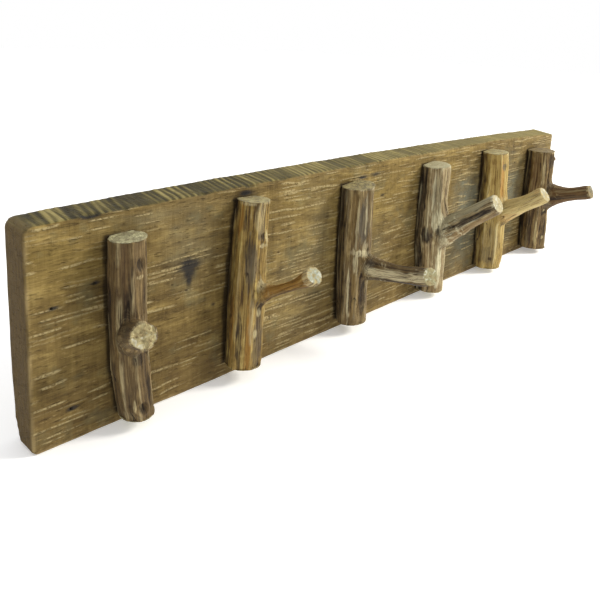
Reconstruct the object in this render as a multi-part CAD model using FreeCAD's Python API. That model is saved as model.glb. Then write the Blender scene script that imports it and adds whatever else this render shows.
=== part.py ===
import FreeCAD, Part
import math
import os

# Wall hook rack: a reclaimed plank with six natural forked-branch hooks.
# Row frame: X along the plank, Y = 0 on the wall face, front towards -Y, Z up, Z = 0 at mid height.

V = FreeCAD.Vector

# plank
length = 1000.0
height = 215.0
thick = 40.0
long_edge_r = 2.5      # worn foot arrises
end_edge_r = 2.0       # worn upright arrises of both ends
corner_left_top = 9.0
corner_left_foot = 6.0
corner_right_foot = 3.0
# wavy sawn top: (x over half length, rise over half height) of the wall-side and front top edges
rise_back = [(-1.02, -2.4), (-0.88, -0.4), (-0.66, 1.6), (-0.38, 3.0), (0.0, 3.4),
             (0.4, 2.1), (0.74, 0.2), (1.02, -2.7)]
rise_front = [(-1.02, -2.4), (-0.84, -1.7), (-0.5, -0.5), (-0.2, 0.3), (0.2, 0.3),
              (0.7, 0.0), (0.86, -2.6), (1.02, -7.2)]
# bark-edge bevels of the wall-side foot corner at the left end: height, depth along Y and X
wanes = [(115.0, 7.0, 5.0), (38.0, 15.0, 11.0)]
nail_r = 1.3
nail_depth = 7.0
nail_holes = [(-477.9, 27.7), (-437.0, 40.8), (-462.9, -74.6)]

# branch hooks
hook_count = 6
seat_ratio = 0.72      # branch axis to plank face, over the branch radius
tip_flat = 0.94        # cut end of a prong, over its full radius
section_points = 18

# hook screws, driven from the wall face
screw_r = 2.1
screw_clear = 0.15     # shank to its hole in the plank
thread_clear = 0.05    # thread crest to the pilot hole in the branch
head_r = 4.2
head_sink = 0.5
head_cone = 2.6
screw_length = 58.0
screw_point = 5.0
pilot_extra = 1.5
screw_up = 52.0
screw_down = -58.0

# keyhole hanger plates, let into the wall face
hanger_pitch = 674.0
hanger_z = 52.0
plate_half = 19.0      # half the straight part of the stadium outline
plate_r = 10.0
plate_thick = 2.0
plate_clear = 0.2
entry_r = 4.5
slot_r = 2.5
slot_rise = 11.0
pocket_r = 6.5
pocket_depth = 10.0
plate_screw_z = 21.0
plate_screw_r = 1.5
plate_head_r = 3.0
plate_head_cone = 1.5
plate_screw_length = 16.0

front = -thick
top_z = height / 2.0
foot_z = -height / 2.0

# Every branch: stations (z, x, radius) from foot to top, saw-cut tilts of both ends,
# prong start height, prong middle and tip (x, reach from the plank face, z), radii at start, middle
# and tip, and web, the upright flare of the fork over the prong radius.
branches = [
    dict(
        stations=[(-96.8, -401.6, 18.2), (-60.0, -406.4, 19.0), (-28.0, -409.0, 19.0),
                  (22.0, -410.4, 18.8), (83.5, -410.3, 18.0)],
        tilt=(0.02, 0.03), start_z=-12.0, mid=(-425.0, 52.0, 5.0), tip=(-446.0, 94.6, 27.3),
        radii=(12.5, 11.6, 11.2), web=0.55, knots=[]),
    dict(
        stations=[(-90.7, -268.7, 20.6), (-39.0, -267.9, 21.6), (-5.0, -267.0, 21.3),
                  (28.7, -264.6, 20.4), (56.0, -262.2, 19.2), (95.0, -258.4, 18.1)],
        tilt=(-0.04, -0.05), start_z=-11.0, mid=(-256.0, 55.0, 1.0), tip=(-247.8, 96.0, 31.0),
        radii=(8.0, 6.6, 8.8), web=0.75, knots=[(51.0, 46.0, 5.0)]),
    dict(
        stations=[(-94.0, -83.6, 20.2), (-45.0, -86.6, 21.2), (9.0, -87.2, 21.6),
                  (42.0, -86.5, 21.2), (86.8, -85.4, 20.8)],
        tilt=(0.03, 0.12), start_z=-14.0, mid=(-78.0, 68.0, -18.5), tip=(-64.5, 116.4, -9.2),
        radii=(11.2, 10.6, 11.4), web=0.6, knots=[]),
    dict(
        stations=[(-99.2, 98.6, 19.4), (-70.0, 94.4, 20.6), (-35.0, 89.7, 21.6),
                  (26.0, 86.4, 20.8), (56.0, 87.0, 20.2), (92.5, 88.4, 19.4)],
        tilt=(-0.03, 0.1), start_z=-16.0, mid=(97.0, 60.0, 18.0), tip=(111.3, 102.8, 49.8),
        radii=(15.6, 14.6, 13.4), web=0.3, knots=[]),
    dict(
        stations=[(-99.7, 265.4, 21.2), (-64.0, 263.4, 22.4), (-28.0, 261.3, 22.4),
                  (31.0, 259.8, 21.6), (94.4, 256.2, 20.6)],
        tilt=(0.04, 0.05), start_z=-12.0, mid=(264.0, 58.0, 8.0), tip=(267.2, 99.3, 39.4),
        radii=(14.0, 13.2, 12.6), web=0.35, knots=[]),
    dict(
        stations=[(-98.7, 426.3, 23.4), (-57.0, 422.1, 24.4), (-9.0, 418.6, 24.4),
                  (36.0, 420.0, 25.0), (81.3, 418.2, 24.4)],
        tilt=(0.0, 0.0), start_z=1.0, mid=(420.5, 62.0, 6.0), tip=(423.5, 110.8, 22.8),
        radii=(12.6, 12.2, 12.4), web=1.15, knots=[(66.0, 44.0, 6.5)]),
]


def stadium(x, z, z_half, radius, y0, y1):
    """Upright slot-shaped prism between the planes y0 and y1."""
    low = min(y0, y1)
    depth = abs(y1 - y0)
    body = Part.makeBox(2 * radius, depth, 2 * z_half, V(x - radius, low, z - z_half))
    ends = [Part.makeCylinder(radius, depth, V(x, low, z + s * z_half), V(0, 1, 0)) for s in (-1, 1)]
    return body.fuse(ends).removeSplitter()


def rounded_prism(low, high, radius, to_point, sweep):
    """Prism over a rectangle with four equal rounded corners."""
    k = radius * (1.0 - math.sqrt(0.5))
    a0, b0 = low
    a1, b1 = high
    r = radius
    pts = [(a0 + r, b0), (a1 - r, b0), (a1, b0 + r), (a1, b1 - r),
           (a1 - r, b1), (a0 + r, b1), (a0, b1 - r), (a0, b0 + r)]
    arcs = {1: (a1 - k, b0 + k), 3: (a1 - k, b1 - k), 5: (a0 + k, b1 - k), 7: (a0 + k, b0 + k)}
    edges = []
    for i in range(8):
        p = to_point(*pts[i])
        q = to_point(*pts[(i + 1) % 8])
        if i in arcs:
            edges.append(Part.Arc(p, to_point(*arcs[i]), q).toShape())
        else:
            edges.append(Part.makeLine(p, q))
    return Part.Face(Part.Wire(edges)).extrude(sweep)


def above_top():
    """Everything over the sawn top, ruled between its wall-side and front edges."""
    lid = top_z + 30.0
    wires = []
    # both profiles are carried past the faces, so the ruled top meets the faces at the stated rises
    past = 5.0
    for y in (past, front - past):
        k = -y / thick
        pts = []
        for (u, back), (v, fore) in zip(rise_back, rise_front):
            x = length / 2.0 * (u + k * (v - u))
            pts.append(V(x, y, top_z + back + k * (fore - back)))
        curve = Part.BSplineCurve()
        curve.interpolate(Points=pts)
        first = V(pts[0].x, y, lid)
        last = V(pts[-1].x, y, lid)
        wires.append(Part.Wire([
            curve.toShape(), Part.makeLine(pts[-1], last), Part.makeLine(last, first),
            Part.makeLine(first, pts[0])]))
    return Part.makeLoft(wires, True, True)


def corner_cutter(x, z, sx, sz, radius):
    """Waste outside a rounded corner of the front outline."""
    big = radius + 12.0
    waste = Part.makeBox(big, thick + 10, big, V(x - radius if sx > 0 else x + radius - big, front - 5,
                                                 z - radius if sz > 0 else z + radius - big))
    centre = V(x - sx * radius, front - 5, z - sz * radius)
    keep = Part.makeCylinder(radius, thick + 10, centre, V(0, 1, 0))
    return waste.cut(keep)


def wane_cutter(rise, deep, wide):
    """Half space beyond the plane that bevels the wall-side foot corner of the left end."""
    x = -length / 2.0
    a = V(x, 0, foot_z + rise)
    b = V(x, -deep, foot_z)
    c = V(x + wide, 0, foot_z)
    normal = (b - a).cross(c - a)
    normal.normalize()
    if normal.x > 0:
        normal = normal * -1.0
    slab = Part.makeBox(600, 600, 40, V(-300, -300, 0))
    turned = FreeCAD.Placement(a, FreeCAD.Rotation(V(0, 0, 1), normal))
    slab.Placement = turned.multiply(slab.Placement)
    return slab


def countersunk(x, z, face_y, shank_r, cone_r, cone_depth, total, point):
    """Screw pointing towards -Y with its flat head on the plane face_y."""
    inward = V(0, -1, 0)
    head = Part.makeCone(cone_r, shank_r, cone_depth, V(x, face_y, z), inward)
    straight = total - cone_depth - point
    shank = Part.makeCylinder(shank_r, straight, V(x, face_y - cone_depth, z), inward)
    tip = Part.makeCone(shank_r, 0.3, point, V(x, face_y - total + point, z), inward)
    screw = head.fuse([shank, tip])
    slot = 0.32 * shank_r
    deep = 0.8 * cone_depth
    for dx, dz in ((slot, 0.62 * cone_r), (0.62 * cone_r, slot)):
        screw = screw.cut(Part.makeBox(2 * dx, deep, 2 * dz, V(x - dx, face_y - deep, z - dz)))
    return screw.removeSplitter()


def station_at(branch, z):
    """Branch axis x and radius at the height z."""
    rows = branch["stations"]
    for low, high in zip(rows, rows[1:]):
        if z <= high[0]:
            break
    t = (z - low[0]) / (high[0] - low[0])
    return low[1] + t * (high[1] - low[1]), low[2] + t * (high[2] - low[2])


def lobed(phase, angle):
    """Slight out-of-round of a branch section."""
    return 1.0 + 0.028 * math.sin(2 * angle + phase) + 0.018 * math.sin(3 * angle - 1.7 * phase)


def section(centre, u, w, ru, rw, phase):
    """Closed smooth section spanned by the unit vectors u and w."""
    pts = []
    for i in range(section_points):
        a = 2 * math.pi * i / section_points
        k = lobed(phase, a)
        pts.append(centre + u * (ru * k * math.cos(a)) + w * (rw * k * math.sin(a)))
    curve = Part.BSplineCurve()
    curve.interpolate(Points=pts, PeriodicFlag=True)
    return Part.Wire(curve.toShape())


def make_upright(branch, seed):
    """Branch stem between its two saw cuts, before its back is planed flat."""
    rings = []
    rows = branch["stations"]
    for i, (z, x, r) in enumerate(rows):
        tilt = branch["tilt"][0] if i == 0 else branch["tilt"][1] if i == len(rows) - 1 else 0.0
        u = V(1, 0, tilt)
        rings.append(section(V(x, front - seat_ratio * r, z), u, V(0, 1, 0), r, r, seed + 0.35 * i))
    return Part.makeLoft(rings, True, False)


def make_prong(branch, seed):
    """Prong swept along a bent path, flared upright where it leaves the stem."""
    x0, r_stem = station_at(branch, branch["start_z"])
    start = V(x0, front - seat_ratio * r_stem, branch["start_z"])
    mid = V(branch["mid"][0], front - branch["mid"][1], branch["mid"][2])
    tip = V(branch["tip"][0], front - branch["tip"][1], branch["tip"][2])
    r0, r1, r2 = branch["radii"]
    span = (mid - start).Length + (tip - mid).Length
    rings = []
    for t in (0.0, 0.24, 0.34, 0.46, 0.62, 0.8, 0.955, 1.0):
        centre = start * (1 - t) ** 2 + mid * (2 * t * (1 - t)) + tip * t ** 2
        along = (mid - start) * (1 - t) + (tip - mid) * t
        along.normalize()
        side = along.cross(V(0, 0, 1))
        side.normalize()
        rise = side.cross(along)
        r = r0 * (1 - t) ** 2 + r1 * 2 * t * (1 - t) + r2 * t ** 2
        past = max(0.0, t * span - r_stem)
        flare = math.exp(-past / 9.0)
        if t == 1.0:
            r = r * tip_flat
        ru = min(r * (1 + 0.22 * flare), 0.86 * r_stem)
        rings.append(section(centre, side, rise, ru, r * (1 + branch["web"] * flare), seed + 2.0 + t))
    return Part.makeLoft(rings, True, False)


def screw_places():
    """Hook number, x and z of every hook screw."""
    places = []
    for n, branch in enumerate(branches):
        for z in (screw_up, screw_down):
            places.append((n, station_at(branch, z)[0], z))
    return places


def make_hook(n):
    """One forked branch: stem, prong and knots as one solid, back planed flat on the plank."""
    branch = branches[n]
    seed = 0.9 * n
    hook = make_upright(branch, seed).fuse(make_prong(branch, seed))
    for z, degrees, r in branch["knots"]:
        x, r_stem = station_at(branch, z)
        a = math.radians(degrees)
        out = r_stem - 0.45 * r
        centre = V(x + out * math.sin(a), front - seat_ratio * r_stem - out * math.cos(a), z)
        hook = hook.fuse(Part.makeSphere(r, centre))
    behind = Part.makeBox(2 * length, thick + 40, 2 * height, V(-length, front, -height))
    hook = hook.cut(behind)
    for m, x, z in screw_places():
        if m == n:
            depth = head_sink + screw_length + pilot_extra - thick
            pilot = Part.makeCylinder(screw_r + thread_clear, depth, V(x, front, z), V(0, -1, 0))
            hook = hook.cut(pilot)
    return hook.Solids[0] if len(hook.Solids) == 1 else hook


def make_board():
    """Plank with worn arrises, wavy sawn top, screw holes, nail holes and hanger pockets."""
    half = length / 2.0
    board = rounded_prism(
        (-thick, foot_z), (0.0, top_z + 20.0), long_edge_r,
        lambda a, b: V(-half, a, b), V(length, 0, 0))
    board = board.common(rounded_prism(
        (-half, -thick), (half, 0.0), end_edge_r,
        lambda a, b: V(a, b, foot_z - 5.0), V(0, 0, height + 40.0)))
    board = board.cut(above_top())
    board = board.cut(corner_cutter(-half, top_z + rise_back[0][1], -1, 1, corner_left_top))
    board = board.cut(corner_cutter(-half, foot_z, -1, -1, corner_left_foot))
    board = board.cut(corner_cutter(half, foot_z, 1, -1, corner_right_foot))
    for wane in wanes:
        board = board.cut(wane_cutter(*wane))
    drills = []
    for m, x, z in screw_places():
        drills.append(Part.makeCylinder(screw_r + screw_clear, thick, V(x, 0, z), V(0, -1, 0)))
        drills.append(Part.makeCylinder(head_r, head_sink, V(x, 0, z), V(0, -1, 0)))
        drills.append(Part.makeCone(head_r, screw_r, head_cone, V(x, -head_sink, z), V(0, -1, 0)))
    for x, z in nail_holes:
        drills.append(Part.makeCylinder(nail_r, nail_depth, V(x, front, z), V(0, 1, 0)))
    for x in (-hanger_pitch / 2.0, hanger_pitch / 2.0):
        drills.append(stadium(x, hanger_z, plate_half, plate_r + plate_clear, 0.0, -plate_thick))
        drills.append(stadium(x, hanger_z, slot_rise / 2.0 + 1.5, pocket_r,
                              -plate_thick, -plate_thick - pocket_depth))
        for s in (-1, 1):
            z = hanger_z + s * plate_screw_z
            drills.append(Part.makeCylinder(plate_screw_r + thread_clear, plate_screw_length,
                                            V(x, -plate_thick, z), V(0, -1, 0)))
    for drill in drills:
        board = board.cut(drill)
    return board.Solids[0] if len(board.Solids) == 1 else board


def make_hanger(x):
    """Keyhole plate: round entry below, narrow slot above it."""
    plate = stadium(x, hanger_z, plate_half, plate_r, 0.0, -plate_thick)
    entry_z = hanger_z - slot_rise / 2.0
    plate = plate.cut(Part.makeCylinder(entry_r, plate_thick, V(x, 0, entry_z), V(0, -1, 0)))
    plate = plate.cut(stadium(x, hanger_z, slot_rise / 2.0, slot_r, 0.0, -plate_thick))
    for s in (-1, 1):
        z = hanger_z + s * plate_screw_z
        hole_r = plate_screw_r + thread_clear
        plate = plate.cut(Part.makeCylinder(hole_r, plate_thick, V(x, 0, z), V(0, -1, 0)))
        sink = Part.makeCone(plate_head_r, plate_screw_r, plate_head_cone, V(x, 0, z), V(0, -1, 0))
        plate = plate.cut(sink)
    return plate.removeSplitter()


def save(name, shape):
    """Check one node and write it."""
    if not shape.isValid():
        print("INVALID", name)
    shape.exportStep("parts/" + name + ".step")
    print(name, "solids", len(shape.Solids), "volume", round(shape.Volume), shape.BoundBox)


os.makedirs("parts", exist_ok=True)
save("board", make_board())
for n in range(hook_count):
    save("hook_" + str(n + 1), make_hook(n))
hook_screws = []
for m, x, z in screw_places():
    hook_screws.append(countersunk(x, z, -head_sink, screw_r, head_r, head_cone, screw_length,
                                   screw_point))
save("hook_screws", Part.makeCompound(hook_screws))
plate_screws = []
for side, x in (("left", -hanger_pitch / 2.0), ("right", hanger_pitch / 2.0)):
    save("hanger_" + side, make_hanger(x))
    for s in (-1, 1):
        z = hanger_z + s * plate_screw_z
        plate_screws.append(countersunk(x, z, 0.0, plate_screw_r, plate_head_r, plate_head_cone,
                                        plate_screw_length, 3.0))
save("hanger_screws", Part.makeCompound(plate_screws))
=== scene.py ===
import math
import bmesh
import bpy
import numpy as np
from mathutils import Matrix, Vector


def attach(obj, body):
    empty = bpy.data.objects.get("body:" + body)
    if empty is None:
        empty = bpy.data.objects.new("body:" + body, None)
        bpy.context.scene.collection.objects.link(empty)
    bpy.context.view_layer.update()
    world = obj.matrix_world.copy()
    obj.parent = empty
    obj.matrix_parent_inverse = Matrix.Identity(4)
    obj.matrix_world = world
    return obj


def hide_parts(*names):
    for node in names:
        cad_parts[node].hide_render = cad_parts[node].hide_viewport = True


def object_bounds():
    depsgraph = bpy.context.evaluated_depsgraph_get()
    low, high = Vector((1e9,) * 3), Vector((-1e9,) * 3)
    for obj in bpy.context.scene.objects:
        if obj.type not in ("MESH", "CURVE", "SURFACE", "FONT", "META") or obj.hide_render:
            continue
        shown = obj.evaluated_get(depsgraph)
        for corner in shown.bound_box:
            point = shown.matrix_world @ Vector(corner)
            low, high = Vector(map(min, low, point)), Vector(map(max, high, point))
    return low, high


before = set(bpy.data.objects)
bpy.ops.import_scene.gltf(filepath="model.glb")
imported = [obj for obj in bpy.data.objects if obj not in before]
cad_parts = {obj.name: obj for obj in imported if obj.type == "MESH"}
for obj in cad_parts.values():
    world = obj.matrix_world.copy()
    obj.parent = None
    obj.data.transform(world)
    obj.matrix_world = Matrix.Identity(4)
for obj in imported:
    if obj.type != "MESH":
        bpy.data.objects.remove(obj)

# Rustic hook rack: a sawn plank and six forked branches. Lengths are mm, but m for lamps and camera.
mm = 0.001
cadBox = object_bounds()
cadLow, cadHigh = (np.array(corner) / mm for corner in cadBox)
print("frame loaded", len(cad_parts), "nodes")


def smooth(low, high, value):
    t = np.clip((value - low) / (high - low), 0, 1)
    return t * t * (3 - 2 * t)


def cornerValue(ix, iy, iz, seed):
    h = (ix * 73856093 ^ iy * 19349663 ^ iz * 83492791 ^ (seed * 40503 + 977)) & 0xFFFFFFFF
    h = ((h ^ (h >> 15)) * 739982445) & 0xFFFFFFFF
    h = ((h ^ (h >> 12)) * 695872825) & 0xFFFFFFFF
    return ((h ^ (h >> 15)) & 0xFFFFF) / 524287.5 - 1


def grain(x, y, z, seed):  # smooth noise, -1 to 1
    x, y, z = np.broadcast_arrays(x, y, z)
    ix, iy, iz = (np.floor(v).astype(np.int64) for v in (x, y, z))
    fx, fy, fz = x - ix, y - iy, z - iz
    fx, fy, fz = (f * f * (3 - 2 * f) for f in (fx, fy, fz))
    total = np.zeros(x.shape)
    for dx in (0, 1):
        for dy in (0, 1):
            for dz in (0, 1):
                share = (fx if dx else 1 - fx) * (fy if dy else 1 - fy) * (fz if dz else 1 - fz)
                total += cornerValue(ix + dx, iy + dy, iz + dz, seed) * share
    return total


def grainStack(x, y, z, seed, layers=3):
    total, size = 0, 1.0
    for n in range(layers):
        total = total + size * grain(x * 2 ** n, y * 2 ** n, z * 2 ** n, seed + 31 * n)
        size *= 0.5
    return total / 1.6


def softTable(x, table):  # cubic curve through (x, value) pairs
    xs = np.array([a for a, b in table], float)
    ys = np.array([b for a, b in table], float)
    slope = np.gradient(ys, xs)
    i = np.clip(np.searchsorted(xs, x) - 1, 0, len(xs) - 2)
    span = xs[i + 1] - xs[i]
    t = np.clip((x - xs[i]) / span, 0, 1)
    return ((2 * t ** 3 - 3 * t ** 2 + 1) * ys[i] + (t ** 3 - 2 * t ** 2 + t) * span * slope[i]
            + (3 * t ** 2 - 2 * t ** 3) * ys[i + 1] + (t ** 3 - t ** 2) * span * slope[i + 1])


def points(mesh):
    co = np.empty(len(mesh.vertices) * 3)
    mesh.vertices.foreach_get("co", co)
    return co.reshape(-1, 3) / mm


def setPoints(mesh, co):
    mesh.vertices.foreach_set("co", (co * mm).ravel())
    mesh.update()


def normals(mesh):
    n = np.empty(len(mesh.vertices) * 3)
    mesh.vertex_normals.foreach_get("vector", n)
    return n.reshape(-1, 3)


def addMask(mesh, name, values):
    layer = mesh.attributes.new(name, "FLOAT", "POINT")
    layer.data.foreach_set("value", np.clip(values, 0, 1).astype(np.float32))


def addVector(mesh, name, values):
    layer = mesh.attributes.new(name, "FLOAT_VECTOR", "POINT")
    layer.data.foreach_set("vector", values.astype(np.float32).ravel())


def placePiece(name, mesh):
    piece = bpy.data.objects.new(name, mesh)
    bpy.context.scene.collection.objects.link(piece)
    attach(piece, "root")
    return piece


def bakeModifiers(piece):
    view = bpy.context.evaluated_depsgraph_get()
    mesh = bpy.data.meshes.new_from_object(piece.evaluated_get(view))
    piece.modifiers.clear()
    piece.data = mesh
    return mesh


def faceOutward(mesh):
    bm = bmesh.new()
    bm.from_mesh(mesh)
    bmesh.ops.recalc_face_normals(bm, faces=bm.faces)
    bm.to_mesh(mesh)
    bm.free()


def rgb(r, g, b):  # 0-255 screen colour to a shader colour
    def lin(c):
        c = c / 255
        return c / 12.92 if c < 0.04045 else ((c + 0.055) / 1.055) ** 2.4
    return (lin(r), lin(g), lin(b), 1)


class Nodes:
    def __init__(self, name):
        self.mat = bpy.data.materials.new(name)
        self.mat.use_nodes = True
        self.tree = self.mat.node_tree
        self.tree.nodes.clear()
        self.out = self.add("ShaderNodeOutputMaterial")
        self.shader = self.add("ShaderNodeBsdfPrincipled")
        self.link(self.shader.outputs[0], self.out.inputs[0])

    def add(self, kind, **values):
        node = self.tree.nodes.new(kind)
        for key, value in values.items():
            setattr(node, key, value)
        return node

    def link(self, a, b):
        self.tree.links.new(a, b)

    def give(self, socket, value):
        if hasattr(value, "links"):
            self.link(value, socket)
        else:
            socket.default_value = value

    def mask(self, name):
        return self.add("ShaderNodeAttribute", attribute_name=name).outputs["Fac"]

    def place(self, name=None):
        if name:
            return self.add("ShaderNodeAttribute", attribute_name=name).outputs["Vector"]
        return self.add("ShaderNodeTexCoord").outputs["Object"]

    def stretch(self, vector, scale, turn=(0, 0, 0)):
        node = self.add("ShaderNodeMapping")
        self.link(vector, node.inputs["Vector"])
        node.inputs["Scale"].default_value = scale
        node.inputs["Rotation"].default_value = turn
        return node.outputs[0]

    def noise(self, vector, scale=1.0, detail=4, rough=0.55, warp=0.0):
        node = self.add("ShaderNodeTexNoise")
        self.link(vector, node.inputs["Vector"])
        node.inputs["Scale"].default_value = scale
        node.inputs["Detail"].default_value = detail
        node.inputs["Roughness"].default_value = rough
        node.inputs["Distortion"].default_value = warp
        return node.outputs["Fac"]

    def ramp(self, value, *stops):  # stops are (position, number or colour)
        node = self.add("ShaderNodeValToRGB")
        self.link(value, node.inputs[0])
        bar = node.color_ramp.elements
        while len(bar) < len(stops):
            bar.new(0.5)
        for e, (pos, col) in zip(bar, stops):
            e.position = pos
            e.color = col if isinstance(col, tuple) else (col, col, col, 1)
        return node.outputs[0]

    def times(self, a, b):
        node = self.add("ShaderNodeMath", operation="MULTIPLY")
        self.give(node.inputs[0], a)
        self.give(node.inputs[1], b)
        return node.outputs[0]

    def blend(self, *parts, offset=0.0):  # weighted sum
        total = offset
        for socket, weight in parts:
            node = self.add("ShaderNodeMath", operation="MULTIPLY_ADD")
            self.link(socket, node.inputs[0])
            node.inputs[1].default_value = weight
            self.give(node.inputs[2], total)
            total = node.outputs[0]
        return total

    def mix(self, share, a, b):
        node = self.add("ShaderNodeMix", data_type="RGBA")
        self.give(node.inputs[0], share)
        self.give(node.inputs[6], a)
        self.give(node.inputs[7], b)
        return node.outputs[2]

    def bump(self, height, depth, strength, under=None):
        node = self.add("ShaderNodeBump")
        self.link(height, node.inputs["Height"])
        node.inputs["Distance"].default_value = depth
        node.inputs["Strength"].default_value = strength
        if under:
            self.link(under, node.inputs["Normal"])
        return node.outputs[0]


plank = dict(
    alongCount=470, upCount=150, backCount=26, throughCount=14,
    arris=2.2, arrisPlay=1.0,  # rounding of the long edges and how much it varies
    cornerLeftTop=9.0, cornerLeftFoot=6.0, cornerRightFoot=3.0, cornerRightTop=2.0,
    # top edge against x: its rise over the mean height, at the wall and at the front
    riseBack=[(-510, -2.4), (-440, -0.4), (-330, 1.6), (-190, 3.0), (0, 3.4), (200, 2.1),
              (370, 0.2), (510, -2.7)],
    riseFront=[(-510, -2.4), (-420, -1.7), (-250, -0.5), (-100, 0.3), (100, 0.3), (350, 0.0),
               (430, -2.6), (510, -7.2)],
    wanes=[(115, 7, 5), (38, 15, 11)],  # bevels of the left foot: height, depth, width
    sawPitch=7.6,  # spacing of the saw's bands on the top edge
    strandPitch=9.5,  # spacing of the raised pale fibres on the front
    notch=(-438, 7, 3.4),  # x, half width and depth of the chipped top arris
    nailHoles=[(-477.9, 27.7), (-437.0, 40.8), (-462.9, -74.6)], nailRadius=1.3, nailDepth=7,
    # soft patches on the front: x, z, half width, half height, strength
    stains=[(-331, 34, 12, 6, 1.0), (-332, 29, 8, 11, 0.9), (-332, 19, 4, 10, 0.75),
            (-258, 98.8, 9, 3, 0.9), (-60, 90, 9, 2.6, 0.7), (-32, 91, 10, 3, 0.6),
            (-439, 104.5, 9, 3, 1.0), (-476, 27.8, 4.5, 1.8, 0.9), (-435, 41, 4, 1.6, 0.9),
            (-461, -74.6, 6, 2.2, 1.0), (-15, 60, 6, 3, 0.5), (-300, -18, 3, 2, 0.6)],
    greys=[(-175, -30, 44, 60, 0.35), (470, -10, 30, 90, 0.3), (208, 24, 34, 34, 1.6),
           (202, -40, 42, 44, 1.6), (350, 0, 36, 66, 1.2), (160, -70, 50, 26, 0.5),
           (-140, 30, 22, 60, 0.4), (-330, 60, 30, 44, 0.45), (-20, -30, 18, 50, 0.35),
           (-360, 92, 70, 8, 0.4)],
    golds=[(-470, 70, 50, 26, 0.55), (-50, 55, 90, 45, 0.55), (-160, 72, 90, 25, 0.4),
           (130, 80, 60, 30, 0.5), (470, 60, 60, 70, 0.35), (-60, -60, 60, 40, 0.35),
           (150, -80, 60, 30, 0.3)],
)

half, face, top, foot = 500.0, -40.0, 107.5, -107.5  # half length, front, upper and lower side


def plankGrid(p):
    nx, nz, nb, ny = p["alongCount"], p["upCount"], p["backCount"], p["throughCount"]
    zs, zb = np.linspace(foot, top, nz + 1), np.linspace(foot, top, nb + 1)
    ys = np.linspace(face, 0, ny + 1)
    loop = ([(face, z) for z in zs] + [(y, top) for y in ys[1:]]
            + [(0.0, z) for z in zb[::-1][1:]] + [(y, foot) for y in ys[::-1][1:-1]])
    loop = np.array(loop)
    m = len(loop)
    xs = np.linspace(-half, half, nx + 1)
    co = np.empty((nx + 1, m, 3))
    co[:, :, 0] = xs[:, None]
    co[:, :, 1:] = loop[None]
    co = co.reshape(-1, 3)
    faces = []
    for i in range(nx):
        a, b = i * m, (i + 1) * m
        for j in range(m):
            k = (j + 1) % m
            faces.append((a + j, b + j, b + k, a + k))
    extra = []
    for side, x in ((0, -half), (nx, half)):  # close each end: strips of rows, then one fan at the back
        base = side * m
        rows = [[base + i for i in range(nz + 1)]]
        for j in range(1, ny):
            row = [base + m - j]
            for i in range(1, nz):
                row.append(len(co) + len(extra))
                extra.append((x, ys[j], zs[i]))
            rows.append(row + [base + nz + j])
        for near, far in zip(rows, rows[1:]):
            for i in range(nz):
                quad = (near[i], near[i + 1], far[i + 1], far[i])
                faces.append(quad if side else quad[::-1])
        last, back = rows[-1], [base + nz + ny + nb - i for i in range(nb + 1)]
        i = 0
        for k in range(nb):                  # stitch the fine row to the coarse back row
            stop = nz if k == nb - 1 else round((k + 1) * nz / nb)
            poly = last[i:stop + 1] + [back[k + 1], back[k]]
            faces.append(tuple(poly if side else poly[::-1]))
            i = stop
    co = np.vstack([co, np.array(extra)])
    mesh = bpy.data.meshes.new("plank")
    mesh.from_pydata((co * mm).tolist(), [], faces)
    return mesh, co


def roundCorner(co, x, z, radius):
    sx, sz = np.sign(x), 1 if z > 0 else -1
    dx = sx * (co[:, 0] - (x - sx * radius))
    dz = sz * (co[:, 2] - (z - sz * radius))
    near = (dx > 0) & (dz > 0)
    k = np.where(near, np.maximum(dx, dz) / np.maximum(np.hypot(dx, dz), 1e-6), 1)
    co[:, 0] = np.where(near, x - sx * radius + sx * dx * k, co[:, 0])
    co[:, 2] = np.where(near, z - sz * radius + sz * dz * k, co[:, 2])


def roundEdges(co, p):
    r = p["arris"] + p["arrisPlay"] * grainStack(co[:, 0] / 38, co[:, 1] / 50, co[:, 2] / 38, 5)
    r = np.clip(r, 0.8, 5)[:, None]
    low = np.array([-half, face, foot]) + r
    high = np.array([half, 0, top]) - r
    inner = np.clip(co, low, high)
    d = co - inner
    size = np.linalg.norm(d, axis=1, keepdims=True)
    moved = inner + d / np.maximum(size, 1e-6) * np.minimum(size, r)
    return np.where(size > 1e-6, moved, co)


def shapePlank(co, p):
    co = roundEdges(co, p)
    roundCorner(co, -half, top, p["cornerLeftTop"])
    roundCorner(co, -half, foot, p["cornerLeftFoot"])
    roundCorner(co, half, foot, p["cornerRightFoot"])
    roundCorner(co, half, top, p["cornerRightTop"])
    x, y, z = co.T
    back = softTable(x, p["riseBack"])
    fore = softTable(x, p["riseFront"])
    share = smooth(face, 0, y) * 0.4 + 0.6 * (y - face) / -face
    co[:, 2] = z + (fore + (back - fore) * share) * smooth(0, top, z)
    for rise, deep, wide in p["wanes"]:
        a = np.array([-half, 0, foot + rise])
        b = np.array([-half, -deep, foot])
        c = np.array([-half + wide, 0, foot])
        n = np.cross(b - a, c - a)
        n /= np.linalg.norm(n)
        n = -n if n[0] > 0 else n
        over = (co - a) @ n
        co -= np.maximum(over, 0)[:, None] * n
    return co


def sawWave(x, y, p):  # bands left across the top edge by the saw
    s = x - 0.13 * y + 4.0 * grain(x / 60, y / 60, 0, 41) + 1.2 * grain(x / 12, y / 30, 0, 42)
    wave = np.sin(2 * np.pi * s / p["sawPitch"])
    clump = grain(s / 16, y / 90, 1, 43)
    wave = 0.7 * wave * (0.6 + 0.6 * grain(s / 34, y / 90, 3, 46))
    return wave + 0.6 * grain(s / 3.4, y / 70, 2, 44) + 0.45 * clump


def fibre(x, z, seed):  # long grain of the front
    bend = 2.2 * grain(x / 120, z / 60, 3, seed)
    coarse = grain(x / 34, 0, (z + bend) / 3.1, seed + 1)
    return coarse * 0.6 + grain(x / 17, 0, (z + bend) / 1.7, seed + 2) * 0.4


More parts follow.
